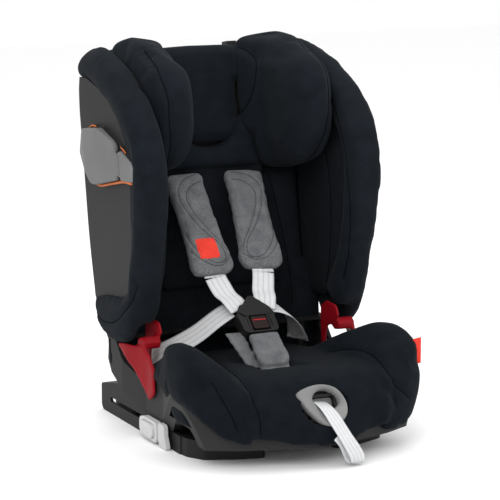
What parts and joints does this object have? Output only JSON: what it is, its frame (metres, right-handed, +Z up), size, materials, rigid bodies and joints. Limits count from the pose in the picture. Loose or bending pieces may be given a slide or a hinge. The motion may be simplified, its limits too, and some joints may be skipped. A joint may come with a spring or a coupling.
{
  "type": "child car seat",
  "caption": "Forward-facing child car seat with a five-point harness, height-adjustable winged headrest, side-impact guards and sliding anchor connectors.",
  "frame": {"origin": "on the floor in the seat's middle plane", "axes": "+Z up, -Y the way the child faces, +X towards the child's left"},
  "size_m": [0.4696, 0.5628, 0.6251],
  "materials": {
    "base_plastic": "fine grain",
    "shell_plastic": "fine grain",
    "steel": "satin",
    "navy_fabric": "woven",
    "melange_fabric": "melange",
    "webbing": "woven",
    "red_tab": "woven",
    "red_plastic": "smooth",
    "red_key": "smooth",
    "black_plastic": "smooth",
    "light_grey_plastic": "smooth",
    "orange_plastic": "smooth",
    "grey_plastic": "smooth"
  },
  "bodies": {
    "base": {"base_frame": "base_plastic", "base_tub": "base_plastic", "recline_axle": "steel", "seat_cushion": "navy_fabric", "seat_bolster_left": "navy_fabric", "seat_bolster_right": "navy_fabric", "cushion_tab": "red_tab", "adjuster_bezel": "light_grey_plastic", "adjuster_body": "shell_plastic", "adjuster_strap": "webbing", "buckle_housing": "black_plastic", "buckle_tongue_left": "steel", "buckle_tongue_right": "steel", "crotch_strap": "webbing", "crotch_pad": "melange_fabric", "lap_straps": "webbing", "harness_straps": "webbing", "lap_guide_left": "red_plastic", "lap_guide_right": "red_plastic"},
    "adjuster_button": {"adjuster_button": "grey_plastic"},
    "adjuster_cam": {"adjuster_cam": "steel"},
    "buckle_button": {"buckle_button": "red_key"},
    "backrest": {"back_shell": "shell_plastic", "back_pad": "navy_fabric", "side_bolster_left": "navy_fabric", "side_bolster_right": "navy_fabric", "wing_roll_left": "navy_fabric", "wing_roll_right": "navy_fabric", "recline_hooks": "shell_plastic", "side_guard_base_left": "orange_plastic", "side_guard_base_right": "orange_plastic", "side_guard_nose_left": "light_grey_plastic", "side_guard_nose_right": "light_grey_plastic", "side_guard_pins": "steel", "headrest_rails": "steel", "rail_brackets": "shell_plastic"},
    "headrest": {"headrest_shell": "shell_plastic", "headrest_centre_pad": "navy_fabric", "headrest_neck_pad": "navy_fabric", "headrest_wing_left": "navy_fabric", "headrest_wing_right": "navy_fabric", "headrest_carriage": "shell_plastic", "harness_yoke": "steel", "shoulder_pad_left": "melange_fabric", "shoulder_pad_right": "melange_fabric", "shoulder_straps": "webbing"},
    "headrest_lever": {"headrest_lever": "grey_plastic"},
    "side_guard_left": {"side_guard_flap_left": "light_grey_plastic"},
    "isofix_left": {"isofix_arm_left": "steel", "isofix_connector_left": "grey_plastic", "isofix_grip_left": "light_grey_plastic"},
    "isofix_jaw_left": {"isofix_jaw_left": "steel"},
    "isofix_key_left": {"isofix_key_left": "light_grey_plastic"},
    "side_guard_right": {"side_guard_flap_right": "light_grey_plastic"},
    "isofix_right": {"isofix_arm_right": "steel", "isofix_connector_right": "grey_plastic", "isofix_grip_right": "light_grey_plastic"},
    "isofix_jaw_right": {"isofix_jaw_right": "steel"},
    "isofix_key_right": {"isofix_key_right": "light_grey_plastic"}
  },
  "joints": [
    {"name": "backrest_recline", "type": "hinge", "parent": "base", "child": "backrest", "pos_m": [0, 0.118, 0.088], "axis": [-1, 0, 0], "range_deg": [0, 12], "deforming": ["harness_straps"]},
    {"name": "headrest_height", "type": "slide", "parent": "backrest", "child": "headrest", "axis": [0, 0.1736, 0.9848], "range_m": [0, 0.17], "deforming": ["harness_straps"]},
    {"name": "headrest_release", "type": "slide", "parent": "headrest", "child": "headrest_lever", "axis": [0, 0.1736, 0.9848], "range_m": [0, 0.008], "stiffness_N_per_m": 1500},
    {"name": "buckle_release", "type": "slide", "parent": "base", "child": "buckle_button", "axis": [0, 0.6428, -0.766], "range_m": [0, 0.0035], "stiffness_N_per_m": 3000},
    {"name": "adjuster_press", "type": "slide", "parent": "base", "child": "adjuster_button", "axis": [0, 0.866, -0.5], "range_m": [0, 0.004], "stiffness_N_per_m": 2500},
    {"name": "adjuster_cam_turn", "type": "hinge", "parent": "base", "child": "adjuster_cam", "pos_m": [0, -0.23106, 0.06894], "axis": [1, 0, 0], "range_deg": [0, 18]},
    {"name": "side_guard_swing_left", "type": "hinge", "parent": "backrest", "child": "side_guard_left", "pos_m": [0.2195, 0.02314, 0.44577], "axis": [0, -0.1736, -0.9848], "range_deg": [0, 65]},
    {"name": "isofix_slide_left", "type": "slide", "parent": "base", "child": "isofix_left", "axis": [0, 1, 0], "range_m": [0, 0.14]},
    {"name": "isofix_jaw_close_left", "type": "hinge", "parent": "isofix_left", "child": "isofix_jaw_left", "pos_m": [0.14, 0.16, 0.033], "axis": [-1, 0, 0], "range_deg": [0, 12]},
    {"name": "isofix_key_press_left", "type": "slide", "parent": "isofix_left", "child": "isofix_key_left", "axis": [-1, 0, 0], "range_m": [0, 0.003], "stiffness_N_per_m": 1500},
    {"name": "side_guard_swing_right", "type": "hinge", "parent": "backrest", "child": "side_guard_right", "pos_m": [-0.2195, 0.02314, 0.44577], "axis": [0, 0.1736, 0.9848], "range_deg": [0, 65]},
    {"name": "isofix_slide_right", "type": "slide", "parent": "base", "child": "isofix_right", "axis": [0, 1, 0], "range_m": [0, 0.14]},
    {"name": "isofix_jaw_close_right", "type": "hinge", "parent": "isofix_right", "child": "isofix_jaw_right", "pos_m": [-0.14, 0.16, 0.033], "axis": [-1, 0, 0], "range_deg": [0, 12]},
    {"name": "isofix_key_press_right", "type": "slide", "parent": "isofix_right", "child": "isofix_key_right", "axis": [1, 0, 0], "range_m": [0, 0.003], "stiffness_N_per_m": 1500}
  ],
  "couplings": [
    {"joint": "adjuster_cam_turn", "follows": "adjuster_press", "rad_per_m": 65.4}
  ]
}
